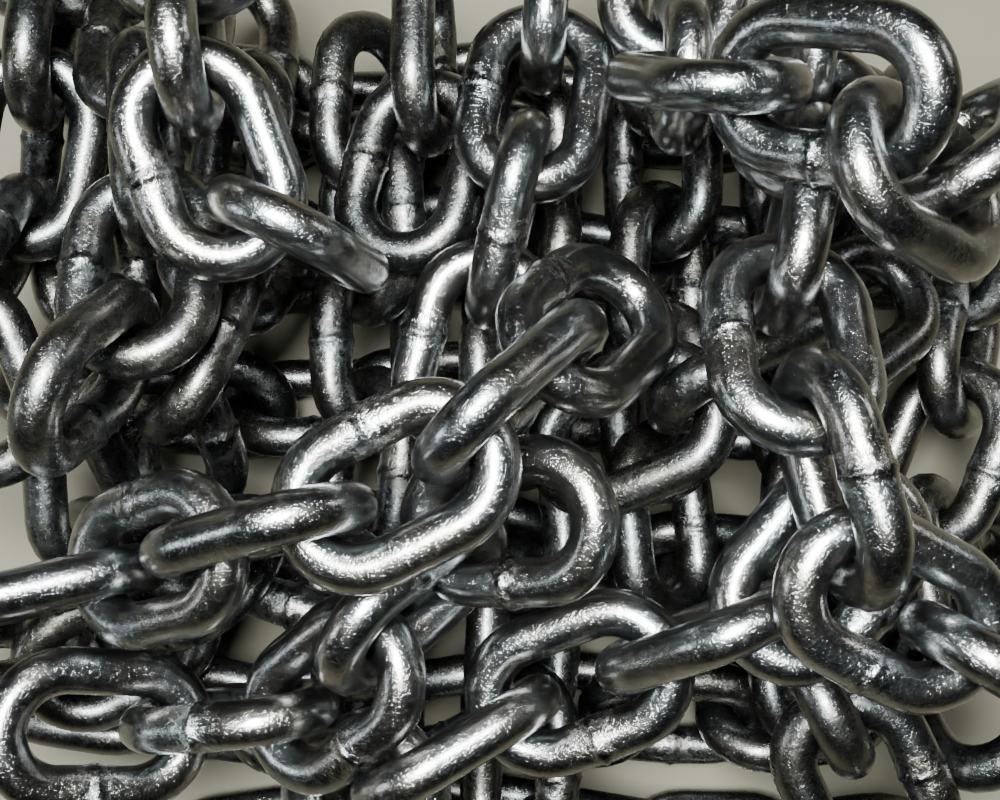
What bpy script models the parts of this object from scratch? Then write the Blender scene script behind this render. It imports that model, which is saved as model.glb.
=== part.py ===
"""A low heap of short-link welded steel chain, laid length over length on a level floor.

Metres, +Z up, the floor at z = 0 and the middle of the heap's plan at the origin. Every link is
one bent and welded ring of round bar. The chain is threaded link by link: each link hooks in the
bend of the one before it and bends away from it only about the two bend centres in its own plane.
"""
import math

import bpy
import bmesh
import numpy as np
from mathutils import Matrix

# Driving sizes of one link
WIRE = 0.010              # diameter of the round bar
PITCH = 0.030             # inside length of a link
INSIDE_WIDTH = 0.0145     # inside width of a link
GAP = 0.0005              # clearance kept where one link bears on another

# Worked out from them
BEND = (INSIDE_WIDTH + WIRE) / 2              # centreline radius of the two round ends
SHANK = PITCH + WIRE - 2 * BEND               # straight length, from bend centre to bend centre
REACH = WIRE + GAP                            # between the centrelines of two bars that bear
REST = WIRE + GAP / 8                         # and of two bars of which one lies on the other
HOOK = 2 * BEND - REACH                       # from a bend centre to that of the link hooked in it
STEP = SHANK + HOOK                           # from one link of a taut chain to the next
PLAN = STEP / 30                              # plan unit of the routes: thirty to a link

TWIST = 0.3 * math.asin(1 - REACH / BEND)     # most that a link turns out of square to the last
SWING = 50                                    # degrees that a bearing point may leave a crown
SLOPE = math.tan(math.radians(66))            # steepest that a length of chain lies
CLOSE = GAP / 10                              # how nearly a length is laid on what is under it
SAGS = (STEP / 3, STEP / 10, STEP / 30, STEP / 120)   # steps in which it then sinks in

FINE_FACETS = (8, 6)      # facets around the bar and around each round end, links in view
RUN_FACETS = (8, 4)       # the same for the length under the middle and for those half in view
PLAIN_FACETS = (6, 4)     # and for the other lengths that lie under the heap
TIE = 0.58 * WIRE         # side of the square tie of a run, wider than a flat of its bars

SAMPLES = 40              # points along one link's centreline where it is laid on the others


def catmull(points, step):
    """Plan curve through the route's points, cut into equal short steps."""
    p = np.array(points, float) * PLAN
    p = np.vstack([2 * p[0] - p[1], p, 2 * p[-1] - p[-2]])
    rows = []
    for a, b, c, d in zip(p[:-3], p[1:-2], p[2:-1], p[3:]):
        for t in np.linspace(0, 1, 24, endpoint=False):
            rows.append(0.5 * (2 * b + (c - a) * t + (2 * a - 5 * b + 4 * c - d) * t * t
                               + (3 * b - a - 3 * c + d) * t ** 3))
    rows.append(p[-2])
    rows = np.array(rows)
    run = np.concatenate([[0], np.cumsum(np.linalg.norm(np.diff(rows, axis=0), axis=1))])
    at = np.arange(0, run[-1], step)
    return np.column_stack([np.interp(at, run, rows[:, 0]), np.interp(at, run, rows[:, 1])]), at


def unit(v):
    return v / np.linalg.norm(v)


def turned(v, toward, normal, limit):
    """The direction of toward in the plane of normal, at most limit away from v."""
    w = toward - normal * toward.dot(normal)
    if np.linalg.norm(w) < 1e-9:
        return v
    angle = math.atan2(np.cross(v, w).dot(normal), v.dot(w))
    angle = max(-limit, min(limit, angle))
    return v * math.cos(angle) + np.cross(normal, v) * math.sin(angle)


class Length:
    """One length of chain, laid along a route over everything laid before it."""

    def __init__(self, name, count, roll, points, swing=SWING):
        self.name = name
        self.count = count
        self.roll = math.radians(roll)
        self.swing = math.radians(swing)
        self.xy, self.at = catmull(points, STEP / 10)
        self.z = np.full(len(self.at), WIRE / 2)
        self.links = []

    def place(self, s):
        """Point of the route at plan length s, carried on straight past its end."""
        over = s - self.at[-1]
        s = min(s, self.at[-1])
        p = np.array([np.interp(s, self.at, self.xy[:, 0]),
                      np.interp(s, self.at, self.xy[:, 1]),
                      np.interp(s, self.at, self.z)])
        if over > 0:
            p[:2] += unit(self.xy[-1] - self.xy[-4]) * over
        return p

    def nearest(self, p, s):
        """Plan length of the route's point nearest to p, at or a little past s."""
        over = self.at[-1]
        if s >= over:
            way = unit(self.xy[-1] - self.xy[-4])
            return over + max(s - over, float((p[:2] - self.xy[-1]).dot(way)))
        ok = (self.at >= s - STEP / 15) & (self.at <= s + 2 * STEP)
        d = np.hypot(*(self.xy[ok] - p[:2]).T)
        best = float(self.at[ok][np.argmin(d)])
        if best >= over - STEP / 8:
            way = unit(self.xy[-1] - self.xy[-4])
            best = over + max(0.0, float((p[:2] - self.xy[-1]).dot(way)))
        return best

    def thread(self):
        """Hook link into link along the route; each link is (near, far, along, normal)."""
        self.links = []
        near = self.place(0)
        u = unit(self.place(STEP * 2 / 3) - near)
        side = unit(np.cross([0, 0, 1.0], u))
        normal = math.cos(self.roll) * np.cross(u, side) + math.sin(self.roll) * side
        s = 0.0
        for k in range(self.count):
            along = turned(u, self.place(s + SHANK + STEP * 0.4) - near, normal, self.swing)
            far = near + SHANK * along
            s = self.nearest(far, s)
            leave = turned(along, self.place(s + HOOK + STEP * 0.65) - far, normal, self.swing)
            self.links.append((near, far, along, normal))
            near = far + HOOK * leave
            s = self.nearest(near, s)
            u = leave
            square = np.cross(u, normal)
            side = unit(np.cross([0, 0, 1.0], u))
            roll = self.roll + (k + 1) * math.pi / 2
            wish = math.cos(roll) * np.cross(u, side) + math.sin(roll) * side
            if wish.dot(square) < 0:
                wish = -wish
            normal = turned(square, wish, u, TWIST)

    def points(self):
        return np.array([link_points(link) for link in self.links])

    def rises(self, near):
        """How far each link must rise to clear the floor and the bars near it, less than 0 if free."""
        self.thread()
        return np.array([lift(p, near) for p in self.points()])

    def middles(self):
        """Plan length of the route's point under the middle of each link."""
        centres = [0.5 * (link[0] + link[1]) for link in self.links]
        at = np.array([self.at[np.argmin(np.hypot(*(self.xy - c[:2]).T))] for c in centres])
        return np.maximum.accumulate(at + np.arange(len(at)) * STEP / 30000)

    def sloped(self, z):
        """The lowest profile over z that is nowhere too steep for the chain."""
        return (z[None, :] - np.abs(self.at[:, None] - self.at[None, :]) * SLOPE).max(axis=1)

    def lay(self, laid):
        """Raise or lower the route until the chain rests on the floor and on what is laid."""
        lo = self.xy.min(axis=0) - 1.2 * STEP
        hi = self.xy.max(axis=0) + 1.2 * STEP
        near = laid[np.all((laid[:, :2] > lo) & (laid[:, :2] < hi), axis=1)]
        for turn in range(18):
            rises = self.rises(near)
            self.z = self.sloped(self.z + 0.7 * np.interp(self.at, self.middles(), rises))
        if self.cleared(near, 40):
            for drop in SAGS:
                for reach in (2 * STEP, STEP):
                    for k in range(self.count):
                        while self.sags(near, drop, reach, k):
                            pass
        return self.rises(near).max()

    def cleared(self, near, turns):
        """Raise the chain where it cuts into what is near; true once nothing is cut."""
        for turn in range(turns):
            rises = self.rises(near)
            if rises.max() < CLOSE:
                return True
            up = np.maximum(rises, 0)
            wide = np.maximum(up, 0.6 * np.maximum(np.append(up[1:], 0), np.append(0, up[:-1])))
            self.z = self.sloped(self.z + 1.05 * np.interp(self.at, self.middles(), wide) + CLOSE / 4)
        return False

    def height(self):
        """Sum of the heights of the links' middles."""
        return sum(0.5 * (link[0][2] + link[1][2]) for link in self.links)

    def sags(self, near, drop, reach, k):
        """Let the chain down by drop about link k, and keep that if the chain lies lower then."""
        kept = self.z
        before = self.height()
        under = np.clip(1 - np.abs(self.at - self.middles()[k]) / reach, 0, 1)
        self.z = self.sloped(kept - drop * under)
        if self.cleared(near, 5) and self.height() < before - drop / 6:
            return True
        self.z = kept
        self.thread()
        return False


def ring():
    """Where evenly spaced points of a link's centreline lie: along the link and across it."""
    bend = math.pi * BEND
    rows = []
    for d in np.linspace(0, 2 * (SHANK + bend), SAMPLES, endpoint=False):
        back = d >= SHANK + bend
        d -= (SHANK + bend) * back
        turn = max(0.0, d - SHANK) / BEND - math.pi / 2
        x = min(d, SHANK) - SHANK / 2 + BEND * math.cos(turn)
        y = BEND * math.sin(turn)
        rows.append((-x, -y) if back else (x, y))
    return np.array(rows)


RING = ring()


def link_points(link):
    """Points along the centreline of one link."""
    near, far, along, normal = link
    side = np.cross(normal, along)
    return (near + far) / 2 + RING[:, :1] * along + RING[:, 1:] * side


def lift(points, laid):
    """How far one link must rise to clear the floor and the bars already laid."""
    need = np.full(len(points), WIRE / 2)
    if len(laid):
        lo = points[:, :2].min(axis=0) - REST
        hi = points[:, :2].max(axis=0) + REST
        close = laid[np.all((laid[:, :2] > lo) & (laid[:, :2] < hi), axis=1)]
        if len(close):
            d2 = ((points[:, None, :2] - close[None, :, :2]) ** 2).sum(axis=2)
            rise = np.sqrt(np.clip(REST ** 2 - d2, 0, None))
            z = np.where(d2 < REST ** 2, close[None, :, 2] + rise, -1.0)
            need = np.maximum(need, z.max(axis=1))
    return (need - points[:, 2]).max()


# The lengths of chain, bottom first: name, links, roll of the first link, plan route
BASE = [
    Length("floor_c", 7, 45, [(-118, 22), (-60, 16), (0, 20), (60, 14), (112, 22)]),
]
UNDER = [
    Length("floor_z", 6, 45, [(-74, -98), (-20, -92), (40, -98), (104, -92)]),
    Length("floor_a", 7, 45, [(-114, -56), (-50, -64), (0, -58), (50, -64), (102, -56)]),
    Length("floor_b", 7, 45, [(118, -20), (60, -26), (0, -20), (-60, -24), (-112, -16)]),
    Length("floor_d", 7, 45, [(118, 60), (60, 54), (0, 60), (-60, 56), (-112, 62)]),
    Length("floor_e", 7, 45, [(-108, 102), (-50, 96), (0, 100), (50, 96), (108, 104)]),
    Length("mid_a", 5, 45, [(-104, -40), (-101, 0), (-104, 50), (-100, 110)]),
    Length("mid_r", 5, 45, [(-68, 112), (-66, 60), (-69, 20), (-66, -30)]),
    Length("mid_b", 6, 45, [(-34, -70), (-35, -20), (-32, 20), (-35, 60), (-33, 108)]),
    Length("mid_c", 6, 45, [(2, -80), (4, -20), (0, 20), (4, 60), (2, 110)]),
    Length("mid_q", 5, 45, [(38, 112), (38, 60), (36, 20), (38, -20)]),
    Length("mid_d", 6, 45, [(74, 112), (72, 60), (75, 20), (72, -20), (74, -72)]),
    Length("m", 6, 45, [(108, 88), (109, 60), (111, 20), (108, -20), (109, -66)]),
]
UPPER = [
    Length("l", 4, 60, [(-120, -46), (-80, -40), (-40, -30), (0, -36)]),
    Length("i", 3, 10, [(20, 2), (29, 6), (52, 16), (80, 34)]),
    Length("j", 3, 80, [(62, -42), (66, -56), (80, -74), (94, -104)]),
    Length("h", 5, 10, [(-110, 118), (-109, 93), (-110, 58), (-114, 30), (-114, -10)]),
    Length("g", 4, 0, [(-81, 100), (-80, 60), (-75, 28), (-86, 6), (-104, -6)]),
    Length("p", 2, 80, [(-20, 104), (-20, 84), (-26, 50)]),
]
OPEN = [
    Length("b", 4, 0, [(-70, 115), (-66, 81), (-62, 51), (-58, 41), (-43, 44), (-29, 52)], 78),
    Length("c", 4, 90, [(9, 114), (6, 76), (-2, 41), (-10, 14), (-14, -4)]),
    Length("f", 5, 0, [(-38, -78), (-25, -72), (-4, -62), (15, -50), (37, -42), (58, -32), (70, -18)]),
    Length("e", 5, 0, [(-95, -60), (-87, -60), (-58, -62), (-30, -48), (-5, -32), (22, -26), (43, -24)]),
    Length("a", 6, 90, [(-106, -32), (-98, -30), (-76, -25), (-50, -19), (-22, -11),
                        (-2, 1), (16, 26), (38, 45)]),
    Length("d", 7, 90, [(68, 104), (67, 88), (62, 55), (54, 24), (57, -6), (73, -28), (98, -46)]),
    Length("k", 6, 0, [(38, 118), (37, 92), (37, 66), (42, 56), (56, 58), (83, 66), (112, 84)], 60),
]


def lay_heap():
    laid = np.zeros((0, 3))
    report = []
    for length in BASE + UNDER + UPPER + OPEN:
        left = length.lay(laid)
        pts = length.points().reshape(-1, 3)
        laid = np.vstack([laid, pts])
        report.append((length.name, round(1000 * left, 3), round(1000 * pts[:, 2].min(), 1),
                       round(1000 * pts[:, 2].max(), 1)))
    return report


def link_mesh(name, facets):
    """One link about the origin: its length along X, its plane in XY."""
    around, bend = facets
    bm = bmesh.new()
    bar = bmesh.ops.create_circle(bm, segments=around, radius=WIRE / 2)["verts"]
    flat_side = Matrix.Rotation(math.pi / around, 4, "Z")
    stand_up = Matrix.Rotation(math.pi / 2, 4, "Y")
    to_start = Matrix.Translation((SHANK / 2, -BEND, 0))
    bmesh.ops.transform(bm, matrix=to_start @ stand_up @ flat_side, verts=bar)
    first = list(bm.edges)
    far = bmesh.ops.spin(bm, geom=bar + first, cent=(SHANK / 2, 0, 0), axis=(0, 0, 1),
                         angle=math.pi, steps=bend)["geom_last"]
    edges = [e for e in far if isinstance(e, bmesh.types.BMEdge)]
    back = bmesh.ops.extrude_edge_only(bm, edges=edges)["geom"]
    verts = [v for v in back if isinstance(v, bmesh.types.BMVert)]
    bmesh.ops.translate(bm, verts=verts, vec=(-SHANK, 0, 0))
    edges = [e for e in back if isinstance(e, bmesh.types.BMEdge)]
    near = bmesh.ops.spin(bm, geom=verts + edges, cent=(-SHANK / 2, 0, 0), axis=(0, 0, 1),
                          angle=math.pi, steps=bend)["geom_last"]
    last = [e for e in near if isinstance(e, bmesh.types.BMEdge)]
    bmesh.ops.bridge_loops(bm, edges=first + last)
    bmesh.ops.recalc_face_normals(bm, faces=list(bm.faces))
    mesh = bpy.data.meshes.new(name)
    bm.to_mesh(mesh)
    bm.free()
    return mesh


def pose(link):
    """World matrix of a link from where its bend centres lie."""
    near, far, along, normal = link
    side = np.cross(normal, along)
    turn = Matrix([list(row) for row in np.column_stack([along, side, normal])]).to_4x4()
    return Matrix.Translation((near + far) / 2) @ turn


def bearing(link, following):
    """World matrix of a tie from one link's crown to the crown hooked in it."""
    leave = unit(following[0] - link[1])
    middle = link[1] + leave * (BEND - REACH / 2)
    side = unit(np.cross(link[3], leave))
    turn = Matrix([list(row) for row in np.column_stack([leave, side, np.cross(leave, side)])])
    return Matrix.Translation(middle) @ turn.to_4x4()


def steel(name, colour, roughness):
    material = bpy.data.materials.new(name)
    material.use_nodes = True
    shader = material.node_tree.nodes["Principled BSDF"]
    shader.inputs["Base Color"].default_value = (*colour, 1)
    shader.inputs["Roughness"].default_value = roughness
    shader.inputs["Metallic"].default_value = 1.0
    return material


def add(name, mesh, matrix=None):
    thing = bpy.data.objects.new(name, mesh)
    bpy.context.scene.collection.objects.link(thing)
    if matrix is not None:
        thing.matrix_world = matrix
    return thing


def add_links(length, template):
    """The links of one length that lies in view, each a part of its own."""
    for k, link in enumerate(length.links):
        add(f"link_{length.name}{k + 1}", template, pose(link))


def add_run(length, template, material):
    """One length under the others, as a single solid tied at each bearing."""
    bm = bmesh.new()
    for link in length.links:
        start = len(bm.verts)
        bm.from_mesh(template)
        bm.verts.ensure_lookup_table()
        bmesh.ops.transform(bm, matrix=pose(link), verts=bm.verts[start:])
    mesh = bpy.data.meshes.new(length.name)
    bm.to_mesh(mesh)
    bm.free()
    mesh.materials.append(material)
    run = add(f"run_{length.name}", mesh)

    bm = bmesh.new()
    for link, following in zip(length.links[:-1], length.links[1:]):
        tie = bmesh.ops.create_cube(bm, size=1)["verts"]
        stretch = Matrix.Diagonal((REACH - 0.56 * WIRE, TIE, TIE, 1))
        bmesh.ops.transform(bm, matrix=bearing(link, following) @ stretch, verts=tie)
    mesh = bpy.data.meshes.new(f"ties_{length.name}")
    bm.to_mesh(mesh)
    bm.free()
    ties = add(f"ties_{length.name}", mesh)
    ties.hide_render = True
    ties.hide_viewport = True
    join = run.modifiers.new("bearings", "BOOLEAN")
    join.operation = "UNION"
    join.solver = "EXACT"
    join.use_self = True
    join.object = ties


def centre_on_plan():
    """Hold every solid in one empty, so that the heap stands at the middle of its own plan."""
    bpy.context.view_layer.update()
    graph = bpy.context.evaluated_depsgraph_get()
    solids = [thing for thing in bpy.data.objects if not thing.hide_render]
    corners = []
    for thing in solids:
        shown = thing.evaluated_get(graph)
        mesh = shown.to_mesh()
        corners += [thing.matrix_world @ v.co for v in mesh.vertices]
        shown.to_mesh_clear()
    low = [min(c[i] for c in corners) for i in range(3)]
    high = [max(c[i] for c in corners) for i in range(3)]
    heap = add("heap", None)
    for thing in bpy.data.objects:
        if thing is not heap:
            thing.parent = heap
    heap.location = (-(low[0] + high[0]) / 2, -(low[1] + high[1]) / 2, -low[2])
    bpy.context.view_layer.update()
    print("heap", [round(1000 * (b - a), 1) for a, b in zip(low, high)], "mm")


def build():
    for old in list(bpy.data.objects):
        bpy.data.objects.remove(old)
    lay_heap()
    bright = steel("chain_steel", (0.16, 0.155, 0.15), 0.30)
    dark = steel("buried_steel", (0.11, 0.105, 0.10), 0.34)
    fine = link_mesh("link", FINE_FACETS)
    fine.materials.append(bright)
    smooth = link_mesh("run_link", RUN_FACETS)
    plain = link_mesh("plain_link", PLAIN_FACETS)
    for length in BASE + UPPER:
        add_run(length, smooth, dark)
    for length in UNDER:
        add_run(length, plain, dark)
    for length in OPEN:
        add_links(length, fine)
    centre_on_plan()


if __name__ == "__main__":
    build()
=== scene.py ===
# %% [markdown]
# # A heap of welded steel chain
#
# On the real object many lengths of short-link chain lie over each other in a low heap. Every link
# is a piece of round bar, bent to a ring with two straight sides and welded shut in the middle of
# one side. The solids of the heap are made already, with few flat faces. This lesson dresses them:
# each link gets a round bar, its weld, small dents and a finish of dark oiled steel.
#
# The box round them is kept.

# %% Open the frame
import math

import bpy
import bmesh
import numpy as np
from mathutils import Matrix, Vector, noise


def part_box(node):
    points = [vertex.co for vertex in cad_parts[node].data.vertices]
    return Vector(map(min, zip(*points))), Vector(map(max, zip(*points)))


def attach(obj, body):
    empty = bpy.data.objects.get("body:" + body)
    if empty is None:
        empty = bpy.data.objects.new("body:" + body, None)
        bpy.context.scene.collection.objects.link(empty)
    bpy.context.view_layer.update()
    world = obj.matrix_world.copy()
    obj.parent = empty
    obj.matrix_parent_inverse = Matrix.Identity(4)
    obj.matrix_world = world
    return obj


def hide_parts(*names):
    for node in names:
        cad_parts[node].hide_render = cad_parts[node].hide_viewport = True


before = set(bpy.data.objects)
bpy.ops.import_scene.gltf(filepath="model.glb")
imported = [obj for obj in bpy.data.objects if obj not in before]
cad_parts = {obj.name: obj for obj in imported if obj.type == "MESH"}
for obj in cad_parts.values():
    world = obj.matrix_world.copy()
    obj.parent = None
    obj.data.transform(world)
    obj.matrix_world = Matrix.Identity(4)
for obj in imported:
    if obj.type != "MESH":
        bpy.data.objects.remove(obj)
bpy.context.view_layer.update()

# %% [markdown]
# ## The sizes of one link
#
# A link is told by three sizes: the bar's diameter, the inside length and the inside width. The
# rest follows. Two links that bear on each other touch bar to bar, so the middle of a bend is
# always the same way from the middle of the bend hooked in it. These are the sizes that the solids
# were made from, so the dressed links land on them.

# %% Sizes of one link
WIRE = 0.010            # diameter of the bar
PITCH = 0.030           # inside length of a link
INSIDE_WIDTH = 0.0145   # inside width of a link
GAP = 0.0005            # play between two bars that bear on each other

BEND = (INSIDE_WIDTH + WIRE) / 2    # radius of a bend's middle line
SHANK = PITCH + WIRE - 2 * BEND     # length of a straight side
REACH = WIRE + GAP                  # between the middle lines of two bars in a bearing
REST = WIRE + GAP / 8               # between the middle lines of bars that rest on each other
HOOK = 2 * BEND - REACH             # from a bend's middle to that of the bend hooked in it
STEP = SHANK + HOOK                 # what each link adds to a straight chain
PLAN = STEP / 30                    # one unit of the routes in plan
print("a link is", round(1000 * (PITCH + 2 * WIRE), 1), "mm long and",
      round(1000 * (INSIDE_WIDTH + 2 * WIRE), 1), "mm wide, pitch", round(1000 * STEP, 1), "mm")

# %% [markdown]
# ## Plan routes
#
# A length of chain in a heap follows a loose line over the floor. The line is told by a few points
# in plan, thirty units to a link, and a smooth curve is led through them. A spline pulled towards
# its points would also do, but a Catmull-Rom curve passes through them, so a point is a place
# where the chain lies.

# %% A smooth route through a few points
CURVE_STEPS = 24        # between two of the route's points
ROUTE_STEP = STEP / 10  # between two points of the finished route


def catmull(points, step):
    """Plan curve through the route's points, cut into equal short steps."""
    p = np.array(points, float) * PLAN
    p = np.vstack([2 * p[0] - p[1], p, 2 * p[-1] - p[-2]])
    rows = []
    for a, b, c, d in zip(p[:-3], p[1:-2], p[2:-1], p[3:]):
        for t in np.linspace(0, 1, CURVE_STEPS, endpoint=False):
            rows.append(0.5 * (2 * b + (c - a) * t + (2 * a - 5 * b + 4 * c - d) * t * t
                               + (3 * b - a - 3 * c + d) * t ** 3))
    rows.append(p[-2])
    rows = np.array(rows)
    run = np.concatenate([[0], np.cumsum(np.linalg.norm(np.diff(rows, axis=0), axis=1))])
    at = np.arange(0, run[-1], step)
    return np.column_stack([np.interp(at, run, rows[:, 0]), np.interp(at, run, rows[:, 1])]), at


bow = catmull([(0, 0), (60, 30), (120, 0)], ROUTE_STEP)[1]
print("a bow over 4 links is cut into", len(bow), "steps of", round(1000 * ROUTE_STEP, 2), "mm")

# %% [markdown]
# ## Turning a direction
#
# A chain is all directions: where a link points, and which way its flat side faces. They are kept
# as arrows of length one. Angles about fixed axes would do as well, but they flip over when a link
# stands upright, and arrows never do.

# %% Turn one direction towards another
TINY = 1e-9


def unit(v):
    return v / np.linalg.norm(v)


def turned(v, toward, normal, limit):
    """The direction of toward in the plane of normal, at most limit away from v."""
    w = toward - normal * toward.dot(normal)
    if np.linalg.norm(w) < TINY:
        return v
    angle = math.atan2(np.cross(v, w).dot(normal), v.dot(w))
    angle = max(-limit, min(limit, angle))
    return v * math.cos(angle) + np.cross(normal, v) * math.sin(angle)


east, north, up = np.eye(3)
print("east turned to north by 30 degrees at most:",
      np.round(turned(east, north, up, math.radians(30)), 2).tolist())

# %% [markdown]
# ## A route that can be asked
#
# To thread a chain, two things are asked of its route: where it is after so many metres, and how
# far along it a given spot is. The route also holds a height for each of its points. That is what
# changes when a length is laid over others, while its plan stays.

# %% Ask a route for places
SWING = 50              # degrees that a link may turn in a bend, in its own plane
LOOK_BACK = STEP / 15   # how far back and ahead the nearest point is looked for
LOOK_AHEAD = 2 * STEP
NEAR_END = STEP / 8     # closer to its end than this, a route is taken as used up


class Route:
    """The line of one length of chain: fixed in plan, with a height that can change."""

    def __init__(self, name, count, roll, points, swing=SWING):
        self.name = name
        self.count = count
        self.roll = math.radians(roll)
        self.swing = math.radians(swing)
        self.xy, self.at = catmull(points, ROUTE_STEP)
        self.way = unit(self.xy[-1] - self.xy[-4])
        self.z = np.full(len(self.at), WIRE / 2)

    def place(self, s):
        """Point of the route at plan length s, carried on straight past its end."""
        over = s - self.at[-1]
        s = min(s, self.at[-1])
        p = np.array([np.interp(s, self.at, self.xy[:, 0]),
                      np.interp(s, self.at, self.xy[:, 1]),
                      np.interp(s, self.at, self.z)])
        if over > 0:
            p[:2] += self.way * over
        return p

    def past_end(self, p):
        """How far p lies past the end of the route, the way the route leaves it."""
        return float((p[:2] - self.xy[-1]).dot(self.way))

    def nearest(self, p, s):
        """Plan length of the route's point nearest to p, at or a little past s."""
        end = self.at[-1]
        if s >= end:
            return end + max(s - end, self.past_end(p))
        ok = (self.at >= s - LOOK_BACK) & (self.at <= s + LOOK_AHEAD)
        d = np.hypot(*(self.xy[ok] - p[:2]).T)
        best = float(self.at[ok][np.argmin(d)])
        if best >= end - NEAR_END:
            best = end + max(0.0, self.past_end(p))
        return best


trial = Route("trial", 4, 45, [(0, 0), (60, 10), (120, 0)])
print("4 links on, the trial route is at", np.round(1000 * trial.place(4 * STEP)).tolist(), "mm")

# %% [markdown]
# ## Hooking link into link
#
# Each link is held by the two middles of its bends, and by the direction square to its plane. The
# next link hooks in the far bend: its own bend middle lies one hook's length away, anywhere round
# the bend, and its plane stands nearly square to that of the link before. So a chain can only turn
# about the bend middles, which is just how the real one moves. Links could be set along a curve
# one by one, but then their bearings open or cut into each other wherever the curve bends.
# Threading them this way keeps every bearing closed.

# %% Thread a length along its route
TWIST = 0.3 * math.asin(1 - REACH / BEND)   # how far from square two links may stand
AIM_START = STEP * 2 / 3                    # how far ahead the first link, each link and
AIM_ALONG = STEP * 0.4                      # each bearing aim, beyond their own end
AIM_LEAVE = STEP * 0.65


def rolled(u, roll):
    """The direction square to u, turned about it by roll from the upright one."""
    side = unit(np.cross([0, 0, 1.0], u))
    return math.cos(roll) * np.cross(u, side) + math.sin(roll) * side


class Threaded(Route):
    """A route with links threaded along it."""

    def thread(self):
        """Hook link into link along the route; each link is (near, far, along, normal)."""
        self.links = []
        near = self.place(0)
        u = unit(self.place(AIM_START) - near)
        normal = rolled(u, self.roll)
        s = 0.0
        for k in range(self.count):
            along = turned(u, self.place(s + SHANK + AIM_ALONG) - near, normal, self.swing)
            far = near + SHANK * along
            s = self.nearest(far, s)
            leave = turned(along, self.place(s + HOOK + AIM_LEAVE) - far, normal, self.swing)
            self.links.append((near, far, along, normal))
            near = far + HOOK * leave
            s = self.nearest(near, s)
            u = leave
            square = np.cross(u, normal)
            wish = rolled(u, self.roll + (k + 1) * math.pi / 2)
            if wish.dot(square) < 0:
                wish = -wish
            normal = turned(square, wish, u, TWIST)


trial = Threaded("trial", 4, 45, [(0, 0), (60, 10), (120, 0)])
trial.thread()
print("a trial of 4 links reaches", round(1000 * float(np.linalg.norm(trial.links[-1][1]))), "mm")

# %% [markdown]
# ## What a link lies on
#
# A dropped chain stops falling where a bar meets a bar below it. Points along each link's middle
# line tell this: a point has to stay one bar's width from every laid point, and half a bar above
# the floor. This is cheaper than a physics run, and gives the same heap each time.

# %% How far a link has to rise
SAMPLES = 40            # points along the middle line of a link
NO_FLOOR = -1.0         # stands for a point with nothing below it


def ring():
    """Where evenly spaced points of a link's centreline lie: along the link and across it."""
    bend = math.pi * BEND
    rows = []
    for d in np.linspace(0, 2 * (SHANK + bend), SAMPLES, endpoint=False):
        back = d >= SHANK + bend
        d -= (SHANK + bend) * back
        turn = max(0.0, d - SHANK) / BEND - math.pi / 2
        x = min(d, SHANK) - SHANK / 2 + BEND * math.cos(turn)
        y = BEND * math.sin(turn)
        rows.append((-x, -y) if back else (x, y))
    return np.array(rows)


RING = ring()


def link_points(link):
    """Points along the centreline of one link."""
    near, far, along, normal = link
    side = np.cross(normal, along)
    return (near + far) / 2 + RING[:, :1] * along + RING[:, 1:] * side


def lift(points, laid):
    """How far one link must rise to clear the floor and the bars already laid."""
    need = np.full(len(points), WIRE / 2)
    if len(laid):
        lo = points[:, :2].min(axis=0) - REST
        hi = points[:, :2].max(axis=0) + REST
        close = laid[np.all((laid[:, :2] > lo) & (laid[:, :2] < hi), axis=1)]
        if len(close):
            d2 = ((points[:, None, :2] - close[None, :, :2]) ** 2).sum(axis=2)
            rise = np.sqrt(np.clip(REST ** 2 - d2, 0, None))
            z = np.where(d2 < REST ** 2, close[None, :, 2] + rise, NO_FLOOR)
            need = np.maximum(need, z.max(axis=1))
    return (need - points[:, 2]).max()


print("a link on edge at floor height would rise",
      round(1000 * max(lift(link_points(link), []) for link in trial.links), 1), "mm")

# %% [markdown]
# ## Raising a length until it is clear
#
# A length can't rise by one link alone, because the links beside it come along. So it is asked of
# every link how far it must rise, the route's height is raised under its middle, and the rest
# follows at a slope that a chain can hang at. A few rounds of this clear the whole length.

# %% Raise a length over what is laid
SLOPE = math.tan(math.radians(66))  # steepest that a length may climb
CLOSE = GAP / 10                    # cuts shallower than this count as clear
NUDGES = 30000                      # to a link: each middle is put one on, so that none are equal
SHARED = 0.6                        # share of a rise that the links beside it get
OVERDONE = 1.05                     # how much a rise is overdone, so that few rounds are needed
EXTRA = CLOSE / 4                   # what the whole length gets on top of each rise
CLEARING = 40                       # rounds of raising, at most


class Raised(Threaded):
    """A threaded length that can be raised until it cuts into nothing."""

    def rises(self, near):
        """How far each link must rise to clear what is near, less than 0 where it is free."""
        self.thread()
        return np.array([lift(link_points(link), near) for link in self.links])

    def middles(self):
        """Plan length of the route's point under the middle of each link."""
        centres = [0.5 * (link[0] + link[1]) for link in self.links]
        at = np.array([self.at[np.argmin(np.hypot(*(self.xy - c[:2]).T))] for c in centres])
        return np.maximum.accumulate(at + np.arange(len(at)) * STEP / NUDGES)

    def sloped(self, z):
        """The lowest profile over z that is nowhere too steep for the chain."""
        return (z[None, :] - np.abs(self.at[:, None] - self.at[None, :]) * SLOPE).max(axis=1)

    def cleared(self, near, turns):
        """Raise the chain where it cuts into what is near; true once nothing is cut."""
        for turn in range(turns):
            rises = self.rises(near)
            if rises.max() < CLOSE:
                return True
            up = np.maximum(rises, 0)
            beside = np.maximum(np.append(up[1:], 0), np.append(0, up[:-1]))
            wide = np.interp(self.at, self.middles(), np.maximum(up, SHARED * beside))
            self.z = self.sloped(self.z + OVERDONE * wide + EXTRA)
        return False


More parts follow.
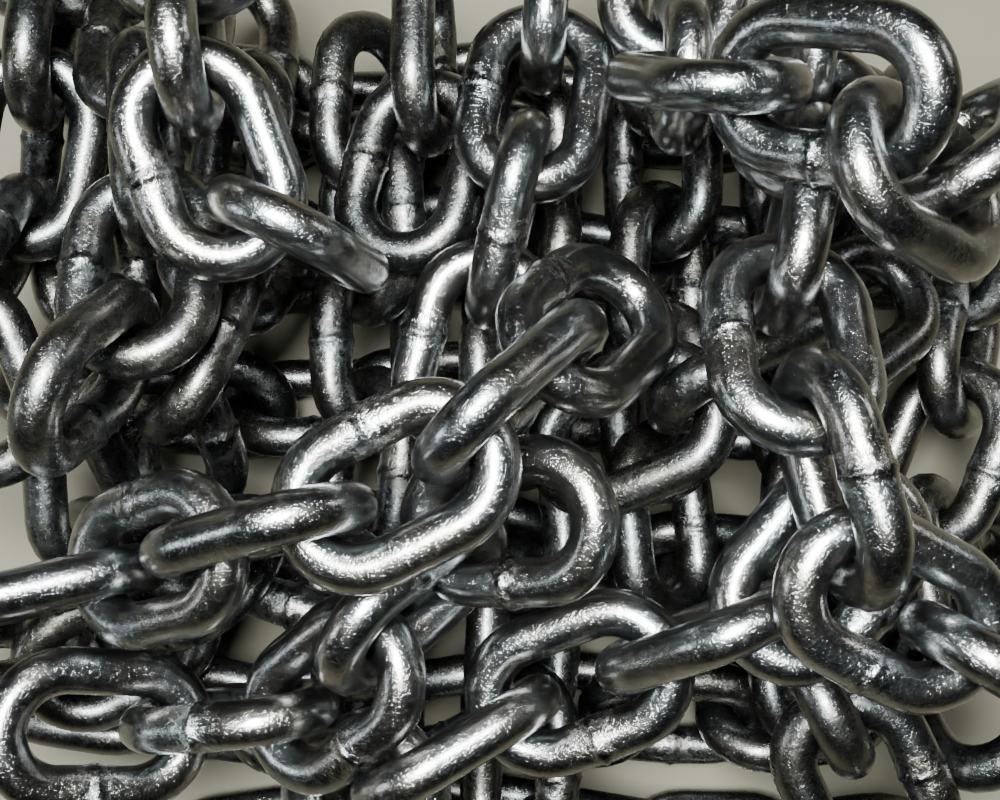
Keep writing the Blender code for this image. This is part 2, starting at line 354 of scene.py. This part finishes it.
trial = Raised("trial", 4, 45, [(0, 0), (60, 10), (120, 0)])
trial.cleared(np.zeros((0, 3)), CLEARING)
print("on the floor, the trial's middle line is", round(1000 * trial.z.min(), 1), "to",
      round(1000 * trial.z.max(), 1), "mm up")

# %% [markdown]
# ## Laying a length over others
#
# A real heap is made from the floor up, and so is this one. A length is first moved up and down
# until it hardly cuts into what is below, then raised until it is clear, and last let sag a little
# under each link in turn, as often as nothing is in the way. Letting it sag last is what makes the
# lengths nestle instead of standing off.

# %% Let a length down on what is laid
SAGS = (STEP / 3, STEP / 10, STEP / 30, STEP / 120)     # how far it is let down at a time
SPANS = (2 * STEP, STEP)                                # how much of it is let down at a time
AROUND = 1.2 * STEP                                     # what lies this near may carry it
SETTLING = 18                                           # rounds of moving up and down
HALFWAY = 0.7                                           # share of each such move that is made
SAG_CLEARING = 5                                        # rounds of raising for one sag
WORTH_IT = 6            # a sag stays if the middles come down by a sixth of its drop in all


class Length(Raised):
    """One length of chain, laid along its route over everything laid before it."""

    def lay(self, laid):
        """Raise or lower the route until the chain rests on the floor and on what is laid."""
        lo = self.xy.min(axis=0) - AROUND
        hi = self.xy.max(axis=0) + AROUND
        near = laid[np.all((laid[:, :2] > lo) & (laid[:, :2] < hi), axis=1)]
        for turn in range(SETTLING):
            rises = self.rises(near)
            self.z = self.sloped(self.z + HALFWAY * np.interp(self.at, self.middles(), rises))
        if self.cleared(near, CLEARING):
            for drop in SAGS:
                for span in SPANS:
                    for k in range(self.count):
                        while self.sags(near, drop, span, k):
                            pass
        return self.rises(near).max()

    def height(self):
        """Sum of the heights of the links' middles."""
        return sum(0.5 * (link[0][2] + link[1][2]) for link in self.links)

    def sags(self, near, drop, span, k):
        """Let the chain down by drop about link k, and keep that if the chain lies lower then."""
        kept = self.z
        before = self.height()
        under = np.clip(1 - np.abs(self.at - self.middles()[k]) / span, 0, 1)
        self.z = self.sloped(kept - drop * under)
        if self.cleared(near, SAG_CLEARING) and self.height() < before - drop / WORTH_IT:
            return True
        self.z = kept
        self.thread()
        return False


print("a length sags in steps of", [round(1000 * drop, 2) for drop in SAGS], "mm")

# %% [markdown]
# ## The lengths of the heap
#
# The heap is told from the floor up. One straight length lies on the floor first, then rows that
# cross it and fill the middle, then shorter lengths, and last the seven that lie open on top.
# Each row gives a name, the number of links, the roll of the first link in degrees, and its route
# in plan. Some open lengths bend more tightly than the rest, so they carry a swing of their own.

# %% Name the lengths, bottom first
BASE = [
    Length("floor_c", 7, 45, [(-118, 22), (-60, 16), (0, 20), (60, 14), (112, 22)]),
]
UNDER = [
    Length("floor_z", 6, 45, [(-74, -98), (-20, -92), (40, -98), (104, -92)]),
    Length("floor_a", 7, 45, [(-114, -56), (-50, -64), (0, -58), (50, -64), (102, -56)]),
    Length("floor_b", 7, 45, [(118, -20), (60, -26), (0, -20), (-60, -24), (-112, -16)]),
    Length("floor_d", 7, 45, [(118, 60), (60, 54), (0, 60), (-60, 56), (-112, 62)]),
    Length("floor_e", 7, 45, [(-108, 102), (-50, 96), (0, 100), (50, 96), (108, 104)]),
    Length("mid_a", 5, 45, [(-104, -40), (-101, 0), (-104, 50), (-100, 110)]),
    Length("mid_r", 5, 45, [(-68, 112), (-66, 60), (-69, 20), (-66, -30)]),
    Length("mid_b", 6, 45, [(-34, -70), (-35, -20), (-32, 20), (-35, 60), (-33, 108)]),
    Length("mid_c", 6, 45, [(2, -80), (4, -20), (0, 20), (4, 60), (2, 110)]),
    Length("mid_q", 5, 45, [(38, 112), (38, 60), (36, 20), (38, -20)]),
    Length("mid_d", 6, 45, [(74, 112), (72, 60), (75, 20), (72, -20), (74, -72)]),
    Length("m", 6, 45, [(108, 88), (109, 60), (111, 20), (108, -20), (109, -66)]),
]
UPPER = [
    Length("l", 4, 60, [(-120, -46), (-80, -40), (-40, -30), (0, -36)]),
    Length("i", 3, 10, [(20, 2), (29, 6), (52, 16), (80, 34)]),
    Length("j", 3, 80, [(62, -42), (66, -56), (80, -74), (94, -104)]),
    Length("h", 5, 10, [(-110, 118), (-109, 93), (-110, 58), (-114, 30), (-114, -10)]),
    Length("g", 4, 0, [(-81, 100), (-80, 60), (-75, 28), (-86, 6), (-104, -6)]),
    Length("p", 2, 80, [(-20, 104), (-20, 84), (-26, 50)]),
]
OPEN = [
    Length("b", 4, 0, [(-70, 115), (-66, 81), (-62, 51), (-58, 41), (-43, 44), (-29, 52)], 78),
    Length("c", 4, 90, [(9, 114), (6, 76), (-2, 41), (-10, 14), (-14, -4)]),
    Length("f", 5, 0, [(-38, -78), (-25, -72), (-4, -62), (15, -50), (37, -42), (58, -32),
                       (70, -18)]),
    Length("e", 5, 0, [(-95, -60), (-87, -60), (-58, -62), (-30, -48), (-5, -32), (22, -26),
                       (43, -24)]),
    Length("a", 6, 90, [(-106, -32), (-98, -30), (-76, -25), (-50, -19), (-22, -11),
                        (-2, 1), (16, 26), (38, 45)]),
    Length("d", 7, 90, [(68, 104), (67, 88), (62, 55), (54, 24), (57, -6), (73, -28), (98, -46)]),
    Length("k", 6, 0, [(38, 118), (37, 92), (37, 66), (42, 56), (56, 58), (83, 66), (112, 84)], 60),
]

print(sum(length.count for length in BASE + UNDER + UPPER + OPEN), "links in",
      len(BASE + UNDER + UPPER + OPEN), "lengths")

# %% [markdown]
# ## Laying them all
#
# The order matters: each length only knows of what lies below it, as in a real heap. The points of
# every laid link are kept, so that the next length can find what it comes down on.

# %% Lay the heap
laid = np.zeros((0, 3))
for length in BASE + UNDER + UPPER + OPEN:
    left = length.lay(laid)
    line = np.vstack([link_points(link) for link in length.links])
    laid = np.vstack([laid, line])
    print(length.name.ljust(8), length.count, "links, from",
          round(1000 * float(line[:, 2].min()), 1), "to", round(1000 * float(line[:, 2].max()), 1),
          "mm, cuts", round(1000 * max(0.0, float(left)), 3), "mm")

# %% [markdown]
# ## Where the heap's solids are
#
# The solids were moved so that the middle of the heap's plan is at the origin. A link is the same
# on both sides of its middle, so the middle of the box round a single link's solid is the middle
# of that link. Comparing both for all links in view gives the shift, and shows how closely the
# threaded links land on the solids.

# %% Find the shift and test the fit
offsets = []
for length in OPEN:
    for k, link in enumerate(length.links):
        low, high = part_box(f"link_{length.name}{k + 1}")
        offsets.append(np.array((low + high) / 2) - 0.5 * (link[0] + link[1]))
shift = np.mean(offsets, axis=0)
print("shift", np.round(1000 * shift, 2), "mm, links land within",
      round(1000 * float(np.abs(np.array(offsets) - shift).max()), 4), "mm")

worst = 0.0
for length in BASE + UNDER + UPPER:
    low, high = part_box(f"run_{length.name}")
    line = np.vstack([link_points(link) for link in length.links]) + shift
    apart = max(np.abs(line.min(axis=0) - WIRE / 2 - np.array(low)).max(),
                np.abs(line.max(axis=0) + WIRE / 2 - np.array(high)).max())
    worst = max(worst, float(apart))
print("the fused lengths' boxes agree within", round(1000 * worst, 2), "mm")

# %% [markdown]
# ## The bar of a link
#
# The real link starts as a cut of round bar. Here a circle of points stands at the weld, in the
# middle of one side. It is drawn along the straight, spun half a turn round the bend, drawn back,
# spun round the other bend and bridged to where it began. A curve with a round bevel would give
# the same bar, but extruding and spinning one circle makes a net of faces whose steps can be
# chosen: short beside the weld, where its collar needs them, and longer further off.

# %% Draw and spin a loop of edges
def drawn(bm, edges, distance):
    """Draw a loop of edges along X and give the new loop."""
    geom = bmesh.ops.extrude_edge_only(bm, edges=edges)["geom"]
    verts = [v for v in geom if isinstance(v, bmesh.types.BMVert)]
    bmesh.ops.translate(bm, verts=verts, vec=(distance, 0, 0))
    return [e for e in geom if isinstance(e, bmesh.types.BMEdge)]


def spun(bm, edges, centre, steps):
    """Spin a loop of edges half a turn round a bend's middle and give the last loop."""
    verts = list(dict.fromkeys(v for e in edges for v in e.verts))
    geom = bmesh.ops.spin(bm, geom=verts + edges, cent=(centre, 0, 0), axis=(0, 0, 1),
                          angle=math.pi, steps=steps)["geom_last"]
    return [e for e in geom if isinstance(e, bmesh.types.BMEdge)]


print("a straight side is", round(1000 * SHANK, 1), "mm, a bend",
      round(1000 * math.pi * BEND, 1), "mm along its middle line")

# %% [markdown]
# ## Two finenesses
#
# Links in view are looked at closely, and those of the lower layers hardly at all. So there are
# two finenesses, each told by three things: points round the bar, steps round a bend, and the
# steps from the weld to the end of the straight, as shares of that distance.

# %% Bend a bar into a link
FINE = (22, 20, (0.05, 0.05, 0.08, 0.12, 0.18, 0.24, 0.28))
PLAIN = (16, 13, (0.08, 0.14, 0.28, 0.5))


def bent_bar(around, bend, side):
    """A link about the origin, its length along X and its plane in XY, welded at y = -BEND."""
    bm = bmesh.new()
    ring_at_weld = bmesh.ops.create_circle(bm, segments=around, radius=WIRE / 2)["verts"]
    upright = Matrix.Rotation(math.pi / 2, 4, "Y")
    bmesh.ops.transform(bm, matrix=Matrix.Translation((0, -BEND, 0)) @ upright, verts=ring_at_weld)
    first = list(bm.edges)
    edge = first
    for share in side:
        edge = drawn(bm, edge, share * SHANK / 2)
    edge = spun(bm, edge, SHANK / 2, bend)
    for step in side:
        edge = drawn(bm, edge, -SHANK / len(side))
    edge = spun(bm, edge, -SHANK / 2, bend)
    for share in reversed(side[1:]):
        edge = drawn(bm, edge, share * SHANK / 2)
    bmesh.ops.bridge_loops(bm, edges=first + edge)
    bmesh.ops.recalc_face_normals(bm, faces=list(bm.faces))
    return bm


bm = bent_bar(*FINE)
print("a link of", len(bm.verts), "points and", len(bm.faces), "faces, closed:",
      all(len(e.link_faces) == 2 for e in bm.edges))
bm.free()

# %% [markdown]
# ## Where along the bar
#
# The weld's collar, the wear in the bends and the finish all depend on where a spot of the bar is.
# Two numbers tell it: how far it is from the weld, along the bar's middle line, and how squarely
# it faces the next link, from 0 on the straights to 1 in the hollow of a bend.

# %% Find a spot's way along the bar
def spot(x, y):
    """How far a spot of the bar is from the weld, and how squarely it faces the next link."""
    if abs(x) <= SHANK / 2:
        return (abs(x) if y < 0 else SHANK + math.pi * BEND - abs(x)), 0.0
    reach = abs(x) - SHANK / 2
    turn = math.atan2(reach, -y)
    inside = (BEND - math.hypot(reach, y)) / (WIRE / 2)
    return SHANK / 2 + BEND * turn, max(0.0, math.sin(turn)) ** 2 * max(0.0, inside)


hollow = spot(SHANK / 2 + BEND - WIRE / 2, 0.0)
print("the hollow of a bend is", round(1000 * hollow[0], 1), "mm from the weld, facing", hollow[1])

# %% [markdown]
# ## The weld, the dents and the wear
#
# A flash-welded link has a low, uneven collar where the two bar ends were pressed together, and
# the bar is a little thicker beside it. Handling leaves shallow flats and dents. A sculpted link
# could have all this, but only once. Here both are made by moving each point along its own normal,
# by how far along the bar it is from the weld and by a noise that never repeats. Three numbers are
# kept on every point for the finish: the way to the weld in millimetres, how much the spot rubs on
# the next link, and one number that tells the links apart.

# %% Weld, dents and the three numbers
COLLAR = 0.00048        # height of the weld's collar, and how far it reaches along the bar
COLLAR_REACH = 0.0008
UPSET = 0.00016         # what the bar gains beside the weld, and how far that reaches
UPSET_REACH = 0.0042
DENT = 0.00027          # depth of a dent, and height of the bar's slow waves
WAVE = DENT * 0.35
EVEN = 0.7              # share of the collar that is the same all round
UNEVEN = 0.9            # share of it that a noise adds or takes away
SPARED = 0.12           # how far below 0 the noise of the dents has to go for a dent
FRAYED = 900            # scales of the noises: uneven collar, dents, waves
DENTED = 210
WAVY = 95
GOLDEN = 0.6180339      # steps of this spread numbers evenly between 0 and 1


def weathered(bm, seed):
    """Raise the weld's collar, press in the dents, and note weld, rub and link on the points."""
    weld = bm.verts.layers.float.new("weld")
    rub = bm.verts.layers.float.new("rub")
    own = bm.verts.layers.float.new("own")
    bm.normal_update()
    far_off = Vector((seed * 3.1, seed * 1.7, seed * 2.3))
    moves = []
    for v in bm.verts:
        away, bent = spot(v.co.x, v.co.y)
        v[weld] = away * 1000
        v[rub] = bent
        v[own] = (seed * GOLDEN) % 1.0
        frayed = noise.noise(v.co * FRAYED + far_off)
        collar = COLLAR * math.exp(-(away / COLLAR_REACH) ** 2) * (EVEN + UNEVEN * frayed)
        upset = UPSET * math.exp(-(away / UPSET_REACH) ** 2)
        dents = DENT * min(0.0, noise.noise(v.co * DENTED + far_off) + SPARED)
        waves = WAVE * noise.noise(v.co * WAVY - far_off)
        moves.append((v, v.normal * (collar + upset + dents + waves)))
    for v, move in moves:
        v.co += move
    return bm


bm = weathered(bent_bar(*FINE), 1)
thick = [abs(v.co.y + BEND) for v in bm.verts if abs(v.co.x) < 1e-3 and v.co.y < 0]
print("the weld stands", round(1000 * (max(thick) - WIRE / 2), 2), "mm proud of the bar")
bm.free()

# %% [markdown]
# ## Twelve shapes for all the links
#
# The forge turns out links that are alike, but no two are dented alike. Six shapes of each
# fineness are made once, and every link of the heap takes one of them, some the other way round.
# That costs far less than shaping each link on its own, and the repeat is hard to find.

# %% Six fine and six plain shapes
KINDS = 6


def shapes(fineness, start):
    """Meshes of a few links that differ in their dents and welds."""
    made = []
    for kind in range(KINDS):
        bm = weathered(bent_bar(*fineness), start + kind)
        mesh = bpy.data.meshes.new(f"shape_{start + kind}")
        bm.to_mesh(mesh)
        bm.free()
        made.append(mesh)
    return made


fine_shapes = shapes(FINE, 1)
plain_shapes = shapes(PLAIN, 21)
print(KINDS, "shapes of", len(fine_shapes[0].polygons), "faces and", KINDS, "of",
      len(plain_shapes[0].polygons))

# %% [markdown]
# ## Putting the links in their places
#
# Each link's shape is turned and moved in its mesh, so that the finished piece's object stays at
# the origin. A length whose solid is fused becomes one piece of many links, and each link in view
# is a piece of its own. Each piece replaces the solid that it dresses. Along a length the shapes,
# the four ways to turn them and the tints are each gone through in steps of their own, so that
# neighbours differ.

# %% Dress every solid
def stood(link, flip):
    """Where a link's shape goes, turned over or end for end as flip says."""
    near, far, along, normal = link
    side = np.cross(normal, along)
    turn = Matrix([list(row) for row in np.column_stack([along, side, normal])]).to_4x4()
    spin = (Matrix.Rotation(math.pi, 4, "X") if flip & 1 else Matrix.Identity(4)) \
        @ (Matrix.Rotation(math.pi, 4, "Z") if flip & 2 else Matrix.Identity(4))
    return Matrix.Translation((near + far) / 2 + shift) @ turn @ spin


def dress(name, links, kinds, number, node, finish):
    """One piece of links in place of a solid; number picks their shapes, flips and tints."""
    bm = bmesh.new()
    for k, link in enumerate(links):
        start = len(bm.verts)
        bm.from_mesh(kinds[(number + 5 * k) % KINDS])
        bm.verts.ensure_lookup_table()
        place = stood(link, (number * 7 + k * 3) % 4)
        bmesh.ops.transform(bm, matrix=place, verts=bm.verts[start:])
        own = bm.verts.layers.float["own"]
        for v in bm.verts[start:]:
            v[own] = ((number + 11 * k) * GOLDEN) % 1.0
    bmesh.ops.recalc_face_normals(bm, faces=list(bm.faces))
    mesh = bpy.data.meshes.new(name)
    bm.to_mesh(mesh)
    bm.free()
    mesh.shade_smooth()
    mesh.materials.append(finish)
    piece = bpy.data.objects.new(name, mesh)
    bpy.context.scene.collection.objects.link(piece)
    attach(piece, "root")
    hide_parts(node)
    return piece


print("a piece for each of", len(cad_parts), "solids can be made now")

# %% [markdown]
# ## Arithmetic for finishes
#
# A finish mixes many patterns, and its nodes are easier to read as sums than as boxes and wires.
# This class holds one socket of a node tree. Adding or multiplying two of them adds the Math node,
# and any other node comes from one method, which takes the node's kind, its settings and what goes
# into its sockets.

# %% A socket that can be reckoned with
MIX_SHARE, MIX_LOW, MIX_HIGH, MIX_RESULT = 0, 6, 7, 2   # sockets of a Mix node set to colours


class Value:
    """One socket of a finish's node tree, ready for arithmetic."""

    def __init__(self, tree, socket=None):
        self.tree = tree
        self.socket = socket

    def node(self, kind, settings=None, inputs=None, output=0):
        """Add a node: settings first, then its sockets from numbers, colours or other values.

        Sockets that go in, and the one that comes out, are told by number or by name.
        """
        made = self.tree.nodes.new(kind)
        for name, setting in (settings or {}).items():
            setattr(made, name, setting)
        for name, given in (inputs or {}).items():
            if isinstance(given, Value):
                self.tree.links.new(given.socket, made.inputs[name])
            else:
                made.inputs[name].default_value = given
        return Value(self.tree, made.outputs[output])

    def maths(self, operation, *given):
        return self.node("ShaderNodeMath", {"operation": operation}, dict(enumerate(given)))

    def __add__(self, other):
        return self.maths("ADD", self, other)

    def __radd__(self, other):
        return self.maths("ADD", other, self)

    def __sub__(self, other):
        return self.maths("SUBTRACT", self, other)

    def __rsub__(self, other):
        return self.maths("SUBTRACT", other, self)

    def __mul__(self, other):
        return self.maths("MULTIPLY", self, other)

    def between(self, low, high):
        """0 at low, 1 at high and eased in between."""
        settings = {"interpolation_type": "SMOOTHSTEP"}
        return self.node("ShaderNodeMapRange", settings,
                         {"Value": self, "From Min": low, "From Max": high})

    def colour(self, low, high):
        """Blend from colour low to colour high by this value."""
        sockets = {MIX_SHARE: self, MIX_LOW: colour_of(low), MIX_HIGH: colour_of(high)}
        return self.node("ShaderNodeMix", {"data_type": "RGBA"}, sockets, MIX_RESULT)


def colour_of(given):
    return given if isinstance(given, Value) else (*given, 1)


print("sums of sockets are ready")

# %% [markdown]
# ## The patterns of forged steel
#
# New chain comes black from the forge and is tumbled and oiled. Close up its surface is grainy,
# with a mottle of scale, small scratches round the bar, and bright scars where the weld was trimmed
# and where links rub. A picture wrapped round the bar would need an unwrapped link. Noises in the
# space of the object need none: each pattern is a noise at its own scale, from 13 mm for the cast
# of the metal down to a grain of 0.5 mm. The three numbers on the points place the scars, and shift
# the noises apart from link to link.

# %% Noises and marks
BLOTCH = (130, 2, 0.4)      # each noise: its scale, its detail and how far it is stirred
PATCH = (430, 4, 0.5)
GRAIN = (2100, 3, 0.0)
SCRAPE = (800, 2, 3.0)
CAST = (75, 2, 0.0)
HARSHNESS = 0.62            # how much the fine detail of a noise counts


def kept_number(start, name):
    """A number that is kept on the points."""
    return start.node("ShaderNodeAttribute", {"attribute_name": name}, output="Fac")


def set_apart(start, own):
    """The place on the object, shifted by a link's own number."""
    place = start.node("ShaderNodeTexCoord", output="Object")
    apart = start.node("ShaderNodeCombineXYZ", inputs={0: own * 3.7, 1: own * 1.9, 2: own * 5.3})
    return start.node("ShaderNodeVectorMath", {"operation": "ADD"}, {0: place, 1: apart})


def mottle(place, scale, detail, stirred):
    """A noise over the object, from about 0 to 1."""
    return place.node("ShaderNodeTexNoise", inputs={
        "Vector": place, "Scale": scale, "Detail": detail, "Roughness": HARSHNESS,
        "Distortion": stirred})


print("a noise of scale", CAST[0], "has blobs of about", round(1000 / CAST[0]), "mm")

# %% [markdown]
# ## Dark, oiled steel
#
# The chain is dark grey steel with a satin shine: a bright streak runs along each bar where it
# faces the light, and the rest goes nearly black. The patterns say how bare the metal is at each
# spot, and that picks its colour between scale and bare metal. The bare metal goes from slightly
# warm to slightly cool. The same patterns stir the roughness and the bumps a little, each by its
# own amount.
#
# The colours look low for steel. They suit a strong lamp overhead: what faces it shines white all
# the same, and what reflects other links only is darker each time, so the gaps go black.

# %% Make the two steels
ALL_OVER = {"Metallic": 1.0, "Coat Weight": 0.12, "Coat Roughness": 0.2}    # metal under thin oil


def steel(name, scale, warm, cool, rough):
    """Oiled steel: colours of its scale and of its bare metal, and base roughness."""
    material = bpy.data.materials.new(name)
    material.use_nodes = True
    tree = material.node_tree
    shader = tree.nodes["Principled BSDF"]
    start = Value(tree)
    own = kept_number(start, "own")
    place = set_apart(start, own)
    blotch = mottle(place, *BLOTCH)
    patch = mottle(place, *PATCH)
    grain = mottle(place, *GRAIN)
    scrape = mottle(place, *SCRAPE)
    weld = kept_number(start, "weld")
    collar = 1 - weld.between(0.6, 2.2)
    trimmed = (1 - weld.between(2.0, 7.5)) * patch.between(0.35, 0.75)
    rubbed = kept_number(start, "rub").between(0.25, 0.8)

    # more metal is bare on the trimmed weld and where links rub, and less on the collar
    bared = (0.46 + (blotch - 0.5) * 0.75 + (patch - 0.5) * 0.65 + (own - 0.5) * 0.3
             + trimmed * 0.4 + rubbed * 0.2 - collar * 0.25)
    bared = start.node("ShaderNodeClamp", inputs={"Value": bared})
    bare = mottle(place, *CAST).between(0.38, 0.62).colour(warm, cool)
    speck = grain.between(0.60, 0.74) * (1 - rubbed)
    colour = (speck * 0.25).colour(bared.colour(scale, bare), scale)
    roughness = (rough + (grain - 0.5) * 0.14 + (patch - 0.5) * 0.14 + trimmed * 0.05
                 - rubbed * 0.05)
    height = (grain * 0.12 + patch * 0.35 + scrape.between(0.5, 0.72) * 0.2
              + collar * patch * 0.8 + trimmed * scrape * 1.2)
    bump = start.node("ShaderNodeBump", inputs={
        "Strength": 0.6, "Distance": 0.00022, "Height": height})

    tree.links.new(colour.socket, shader.inputs["Base Color"])
    tree.links.new(roughness.socket, shader.inputs["Roughness"])
    tree.links.new(bump.socket, shader.inputs["Normal"])
    for socket, number in ALL_OVER.items():
        shader.inputs[socket].default_value = number
    return material


chain_steel = steel("oiled chain steel", (0.043, 0.044, 0.047),
                    (0.34, 0.322, 0.300), (0.304, 0.327, 0.340), 0.23)
# the lower lengths' darker colours are painted shade; their higher roughness is a duller surface
painted_shade_buried_steel = steel("buried chain steel", (0.020, 0.021, 0.022),
                     (0.165, 0.155, 0.142), (0.148, 0.158, 0.163), 0.28)
for finish in (chain_steel, painted_shade_buried_steel):
    print(finish.name, "has", len(finish.node_tree.nodes), "nodes")

# %% [markdown]
# ## Every link in its finish
#
# Now the solids are dressed: one piece for each link in view, with its fine shape, and one piece
# for each length that lies under them. The lengths below get a duller steel with darker colours.
# The darker colours are painted shade, for the shade deep down in a heap.

# %% Dress the heap
faces = 0
number = 0
for length in OPEN:
    for k, link in enumerate(length.links):
        name = f"link_{length.name}{k + 1}"
        piece = dress(f"steel_{name}", [link], fine_shapes, number, name,
                      chain_steel)
        faces += len(piece.data.polygons)
        number += 1
# the lengths under the open ones get the steel whose darker colours are painted shade
for length in BASE + UNDER + UPPER:
    name = f"run_{length.name}"
    kinds = fine_shapes if length in UPPER else plain_shapes
    piece = dress(f"steel_{name}", length.links, kinds, number, name,
                  painted_shade_buried_steel)
    faces += len(piece.data.polygons)
    number += 3
print("dressed", len(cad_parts), "solids with", faces, "faces")

# %% [markdown]
# ## The floor
#
# The heap lies on a plain pale floor, wide enough to fill the view from any side. It is not part
# of the object. A faint mottle keeps it from looking like paper. Its colour is set low as well,
# because the lamp shines straight on it, and it comes out pale.

# %% Lay the floor
FLOOR = 6       # metres from the middle to an edge

bm = bmesh.new()
bmesh.ops.create_grid(bm, x_segments=8, y_segments=8, size=FLOOR)
mesh = bpy.data.meshes.new("floor")
bm.to_mesh(mesh)
bm.free()
floor = bpy.data.objects.new("floor", mesh)
bpy.context.scene.collection.objects.link(floor)
pale = bpy.data.materials.new("pale floor")
pale.use_nodes = True
start = Value(pale.node_tree)
place = start.node("ShaderNodeTexCoord", output="Object")
cloud = start.node("ShaderNodeTexNoise", inputs={"Vector": place, "Scale": 14, "Detail": 4})
tint = cloud.between(0.3, 0.7).colour((0.043, 0.038, 0.023), (0.052, 0.047, 0.030))
pale_shader = pale.node_tree.nodes["Principled BSDF"]
pale.node_tree.links.new(tint.socket, pale_shader.inputs["Base Color"])
pale_shader.inputs["Roughness"].default_value = 0.75
mesh.materials.append(pale)
print("floor", [round(v, 1) for v in floor.dimensions], "m")

# %% [markdown]
# ## Light
#
# Satin bars show what is round them, so the light makes the look: a soft lamp almost straight
# above draws the bright streak along each bar, two weak ones at the sides light the flanks, and
# a dim surround leaves the gaps black.

# %% Set up the lamps
HEAP_MIDDLE = Vector((0, 0, 0.05))


def lamp(name, place, size, power, tint):
    """A soft lamp at place, turned to the heap: size in metres, power in watts."""
    light = bpy.data.lights.new(name, "AREA")
    light.shape = "RECTANGLE"
    light.size, light.size_y = size
    light.energy = power
    light.color = tint
    holder = bpy.data.objects.new(name, light)
    holder.location = place
    holder.rotation_euler = (HEAP_MIDDLE - Vector(place)).to_track_quat("-Z", "Y").to_euler()
    bpy.context.scene.collection.objects.link(holder)


lamp("top lamp", (-0.08, 0.05, 0.95), (0.42, 0.30), 90, (0.95, 1.0, 0.965))
lamp("left lamp", (-0.95, -0.15, 0.40), (0.22, 0.22), 2.2, (0.90, 0.97, 1.0))
lamp("right lamp", (0.85, 0.45, 0.40), (0.20, 0.20), 1.6, (0.98, 1.0, 0.97))
world = bpy.data.worlds.new("studio")
bpy.context.scene.world = world
world.use_nodes = True
surround = world.node_tree.nodes["Background"]
surround.inputs["Color"].default_value = (0.80, 0.85, 0.88, 1)
surround.inputs["Strength"].default_value = 0.012
print("three lamps and a dim surround")

# %% [markdown]
# ## Camera
#
# The picture was taken from close by and nearly from above: the heap fills the frame and runs out
# of it on all sides. The camera stands a little in front of the heap's middle and is tilted down
# by 83 degrees.

# %% Place the camera
ELEVATION = math.radians(83)
DISTANCE = 0.272                    # from the point that it is aimed at
AIM = (-0.0021, 0.0071, 0.100)      # in the frame that the lengths were laid in

aim = Vector(AIM) + Vector(shift)
back = Vector((0, -math.cos(ELEVATION), math.sin(ELEVATION))) * DISTANCE
lens = bpy.data.cameras.new("camera")
lens.lens = 50
lens.sensor_width = 36
lens.clip_start = 0.01
camera = bpy.data.objects.new("camera", lens)
camera.location = aim + back
camera.rotation_euler = (-back).to_track_quat("-Z", "Y").to_euler()
bpy.context.scene.collection.objects.link(camera)
bpy.context.scene.camera = camera
print("camera at", [round(v, 3) for v in camera.location])
